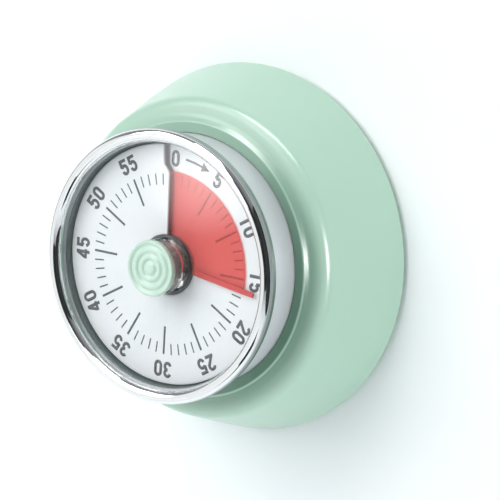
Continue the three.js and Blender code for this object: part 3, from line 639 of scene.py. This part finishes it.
def stroke(path, width):
    """The two edges of a pen stroke along a path, width apart, square to its direction."""
    along = np.gradient(path, axis=0)
    along /= np.linalg.norm(along, axis=1, keepdims=True)
    square = np.stack([-along[:, 1], along[:, 0]], -1) * width / 2
    return np.stack([path + square, path - square], 1)


def ribbon(edges, low, top):
    """A closed thin ribbon between two edges in dial coordinates (right, up), from the low
    heights to the top heights."""
    right, up = edges[..., 0], edges[..., 1]
    under = np.stack([right, low, up], -1)
    over = np.stack([right, top, up], -1)
    ring = np.stack([under[:, 0], under[:, 1], over[:, 1], over[:, 0]], 1)
    n = len(ring)
    i, j = np.meshgrid(np.arange(n - 1), np.arange(4), indexing="ij")
    after = (j + 1) % 4
    walls = np.stack([i * 4 + j, i * 4 + after, (i + 1) * 4 + after, (i + 1) * 4 + j], -1)
    caps = np.array([[3, 2, 1, 0], [0, 1, 2, 3]]) + np.array([[0], [(n - 1) * 4]])
    return ring.reshape(-1, 3), np.concatenate([walls.reshape(-1, 4), caps])


def printed(edges):
    """A ribbon of ink on the dial: its top lies INK_T above the face and its under side
    INK_SINK inside the dial. Outside the film, what lies just before 0 is on the dial's
    low end, because the cut steps back there."""
    right, up = edges[..., 0], edges[..., 1]
    angle = np.degrees(np.arctan2(right, up)) % 360
    on_low_end = (angle > 350) & (np.hypot(right, up) > FILM_EDGE + 0.1)
    angle = np.where(on_low_end, angle - 360, angle)
    face = dial_height(angle)
    return ribbon(edges, face - INK_SINK, face + INK_T)


def set_at(shape, angle, across=0.0, out=0.0):
    """A shape's points moved out and across and then turned to an angle, its top outward."""
    turn = np.radians(angle)
    x, y = shape[..., 0] + across, shape[..., 1] + out
    return np.stack([x * np.cos(turn) + y * np.sin(turn), y * np.cos(turn) - x * np.sin(turn)], -1)


def gathered(parts):
    """Several point and face sets as one."""
    starts = np.cumsum([0] + [len(points) for points, _ in parts[:-1]])
    faces = [faces + start for (_, faces), start in zip(parts, starts)]
    return np.concatenate([points for points, _ in parts]), np.concatenate(faces)


marks = []
for minute in range(1, 60):
    inner, width = (SHORT_IN, SHORT_W) if minute % 5 else (LONG_IN, LONG_W)
    mark = np.stack([np.zeros(12), np.linspace(inner, MARK_OUT, 12)], -1)
    marks.append(printed(set_at(stroke(mark, width), minute * 6)))
for minute in range(0, 60, 5):
    numeral = str(minute)
    for order, digit in enumerate(numeral):
        across = (order - (len(numeral) - 1) / 2) * (NUMERAL_W + NUMERAL_GAP)
        for path in DIGITS[digit]:
            marks.append(printed(set_at(stroke(path, STROKE), minute * 6, across, NUMERAL_R)))
grey_ink = finished(
    "grey_ink", (0.068, 0.078, 0.086), (0.08, 0.09, 0.098), (0.45, 0.6), grain=1800, patch=900,
)
piece("dial_marks", *gathered(marks), grey_ink, "timer_body", "dial_white")

# The arrow lies along an arc between 0 and 5, and its head narrows to a point.
ARROW_R, ARROW_W, HEAD_HALF, TIP_HALF = 19.85, 0.42, 0.88, 0.03
SHAFT_ANGLES, HEAD_ANGLES = (6.8, 18.6), (17.8, 22.9)


def on_ring(radius, angle):
    """Points of the dial at a distance from its middle and an angle in radians."""
    return np.stack([radius * np.sin(angle), radius * np.cos(angle)], -1)


shaft = on_ring(ARROW_R, np.radians(np.linspace(*SHAFT_ANGLES, 24)))
head_angle = np.radians(np.linspace(*HEAD_ANGLES, 8))
head_half = np.linspace(HEAD_HALF, TIP_HALF, 8)
head_edges = np.stack([on_ring(ARROW_R + side * head_half, head_angle) for side in (1, -1)], 1)
arrow = gathered([printed(stroke(shaft, ARROW_W)), printed(head_edges)])
piece("dial_arrow", *arrow, grey_ink, "timer_body", "dial_white")


# ---- Red film ------------------------------------------------------------------------------------
# A thin translucent red disc on the dial's helix: it shows the minutes left, and the rest
# of it lies under the dial. It turns with the knob and lifts as it turns.
SET_ANGLE, FILM_TURN = 98.4, 359
FILM_GAP, FILM_T, FILM_IN = 0.2, 0.2, 5.5
FILM_SHARE = 0.25  # how much of the light meets the pigment at each face; the rest is tinted
film_section = strip_section(FILM_IN, FILM_EDGE, FILM_T, across=6, corner=0.03) + (0, FILM_GAP)
film = wound(film_section, SET_ANGLE - FILM_TURN, SET_ANGLE, dial_height, 420)
red, nodes, links, shader, place = procedural("red_film_finish")
cloud = noise(nodes, links, place, 90)
film_red = blended(nodes, links, cloud, (0.80, 0.065, 0.052), (0.84, 0.08, 0.066))
links.new(film_red, shader.inputs["Base Color"])
links.new(spread(nodes, links, noise(nodes, links, place, 1500), 0.3, 0.4), shader.inputs["Roughness"])
tint = nodes.new("ShaderNodeBsdfTransparent")
tint.inputs["Color"].default_value = (0.985, 0.67, 0.655, 1)
film_mix = nodes.new("ShaderNodeMixShader")
film_mix.inputs["Fac"].default_value = FILM_SHARE
links.new(tint.outputs["BSDF"], film_mix.inputs[1])
links.new(shader.outputs["BSDF"], film_mix.inputs[2])
links.new(film_mix.outputs["Shader"], nodes["Material Output"].inputs["Surface"])
piece("film_translucent", *film, red, "film", "film_red", "red_film")

# A narrow bar of solid red plastic lies along the film's leading edge and reaches out
# between the numerals to point at the minutes left.
BAR_IN, BAR_TIP, BAR_HALF, BAR_TIP_HALF = 6.25, 19.7, 0.5, 0.42
BAR_LOW, BAR_T = 25.9, 0.3
bar_reach = np.linspace(BAR_IN, BAR_TIP, 24)
bar_half = np.interp(bar_reach, [BAR_IN, FILM_EDGE, BAR_TIP], [BAR_HALF, BAR_HALF, BAR_TIP_HALF])
bar_edges = np.stack([np.stack([side * bar_half - BAR_HALF, bar_reach], -1) for side in (1, -1)], 1)
bar_low = np.full(bar_edges.shape[:2], BAR_LOW)
bar = ribbon(set_at(bar_edges, SET_ANGLE), bar_low, bar_low + BAR_T)
pointer_red = finished(
    "pointer_red_plastic", (0.56, 0.035, 0.03), (0.52, 0.03, 0.027), (0.35, 0.45), grain=1500,
)
pointer = piece("pointer_bar", *bar, pointer_red, "film", "pointer_red", "film_pointer")
pointer.data.polygons.foreach_set("use_smooth", [False] * len(pointer.data.polygons))

# The film's hub is a dark ring that slides on the knob's clear barrel.
HUB_BORE, HUB_R, HUB_BACK, HUB_FRONT = 5.0, 5.48, 24.02, 26.41
hub_outline = softened([
    (HUB_BORE, HUB_BACK), (HUB_R, HUB_BACK), (HUB_R, HUB_FRONT), (HUB_BORE, HUB_FRONT),
], 0.12, 4)
hub_dark = finished(
    "hub_dark_plastic", (0.045, 0.05, 0.055), (0.055, 0.06, 0.066), (0.35, 0.5), bump=0.001, grain=1500,
)
piece("hub_ring", *turned(hub_outline, 128), hub_dark, "film", "hub_dark", "film_hub")


# ---- Knob ----------------------------------------------------------------------------------------
# A clear acrylic barrel pressed on the main arbor, with a mint cap moulded with three
# shallow grooves as a finger rest.
BARREL_R, BARREL_BACK, BARREL_FRONT = 4.7, 23.95, 30.1
SOCKET_R, SOCKET_END = 1.75, 28.85
barrel_outline = [
    (0, SOCKET_END), (1.6, SOCKET_END), (1.73, 28.8), (SOCKET_R, 28.7), (SOCKET_R, 24.1), (1.8, 23.97),
    (1.95, BARREL_BACK), (4.45, BARREL_BACK), (4.62, 24.0), (BARREL_R, 24.15), (BARREL_R, 29.9),
    (4.65, 30.05), (4.5, BARREL_FRONT), (0, BARREL_FRONT),
]
moulded, nodes, links, shader, place = procedural("moulded_acrylic")
ripple = noise(nodes, links, place, (300, 60, 300))
links.new(spread(nodes, links, ripple, 0.04, 0.16), shader.inputs["Roughness"])
shader.inputs["Base Color"].default_value = (0.86, 0.84, 0.83, 1)
shader.inputs["Transmission Weight"].default_value = 0.86
shader.inputs["IOR"].default_value = 1.36
barrel = piece(
    "knob_barrel", *solid_turned(barrel_outline, 160), moulded, "knob", "knob_clear", "knob_body",
)
barrel.visible_shadow = False

# The cap's face is a row of rings with round-bottomed grooves, its edge is a full round and
# its back is flat.
CAP_R, CAP_BACK, CAP_FRONT, CAP_EDGE = 5.2, 30.35, 31.6, 0.42
GROOVE_PLACES, GROOVE_DEPTH, GROOVE_WIDTH = (4.16, 2.7, 1.38), 0.3, 0.38
EDGE_INSET, EDGE_FULLNESS = 0.02, 0.7
cap_radius = np.linspace(0, CAP_R - CAP_EDGE, 90)
grooves = sum(np.exp(-((cap_radius - at) / GROOVE_WIDTH) ** 2) for at in GROOVE_PLACES)
cap_face = np.stack([cap_radius, CAP_FRONT - GROOVE_DEPTH * grooves], -1)
edge = np.radians(np.linspace(84, -84, 20))
edge_mid = (CAP_BACK + CAP_FRONT) / 2 + EDGE_INSET
edge_half = (CAP_FRONT - CAP_BACK) / 2 - EDGE_INSET
edge_out = CAP_R - CAP_EDGE + CAP_EDGE * np.cos(edge) ** EDGE_FULLNESS
cap_edge = np.stack([edge_out, edge_mid + edge_half * np.sin(edge)], -1)
cap_outline = np.concatenate([cap_face, cap_edge, [(4.4, CAP_BACK), (3.0, CAP_BACK), (0, CAP_BACK)]])
cap_mint = finished(
    "cap_mint_plastic", (0.53, 0.71, 0.605), (0.52, 0.70, 0.59), (0.22, 0.28),
    bump=0.0008, grain=1500, patch=120, Coat_Weight=0.3, Coat_Roughness=0.1,
)
piece("knob_cap_grooved", *solid_turned(cap_outline, 192), cap_mint, "knob", "cap_mint", "knob_cap")


# ---- Back ----------------------------------------------------------------------------------------
# The cover is a black-painted steel disc. A thin cup fixed to it holds the flat magnet that
# carries the timer, and a rubber ring keeps the body off the wall.
finishes = {
    "rear_cover": finished(
        "black_powder_paint", (0.018, 0.019, 0.02), (0.026, 0.027, 0.029), (0.5, 0.62),
        bump=0.006, grain=1400,
    ),
    "disc_magnet": finished(
        "sintered_magnet", (0.05, 0.05, 0.052), (0.075, 0.075, 0.078), (0.45, 0.6),
        bump=0.004, grain=1200, Metallic=0.6,
    ),
    "foot_ring": finished(
        "foot_rubber_finish", (0.03, 0.031, 0.033), (0.042, 0.043, 0.045), (0.75, 0.9),
        bump=0.008, grain=1000,
    ),
}


# ---- Movement ------------------------------------------------------------------------------------
# Wheels, plates and bushes of clock brass and springs of blued steel. Everything else of
# the movement, the cup and the screws are bright steel, and the dial's seat is as the dial.
steel = finished(
    "bright_steel", (0.56, 0.57, 0.58), (0.48, 0.49, 0.5), (0.22, 0.36),
    bump=0.0015, grain=1300, Metallic=1.0,
)
brass = finished(
    "clock_brass", (0.66, 0.46, 0.17), (0.58, 0.39, 0.13), (0.2, 0.34),
    bump=0.001, grain=1300, Metallic=1.0,
)
blued = finished(
    "blued_steel", (0.03, 0.05, 0.13), (0.05, 0.06, 0.11), (0.2, 0.32),
    bump=0.001, grain=1300, Metallic=1.0,
)
finishes["dial_seat"] = dial_white
for name in (
    "great_wheel", "second_wheel", "third_wheel", "escape_wheel", "front_plate", "rear_plate",
    "front_bush", "rear_bush", "clutch_collar",
):
    finishes[name] = brass
for name in ("mainspring", "hammer_spring"):
    finishes[name] = blued
for name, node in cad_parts.items():
    if not node.hide_render:
        node.material_slots[0].material = finishes.get(name, steel)
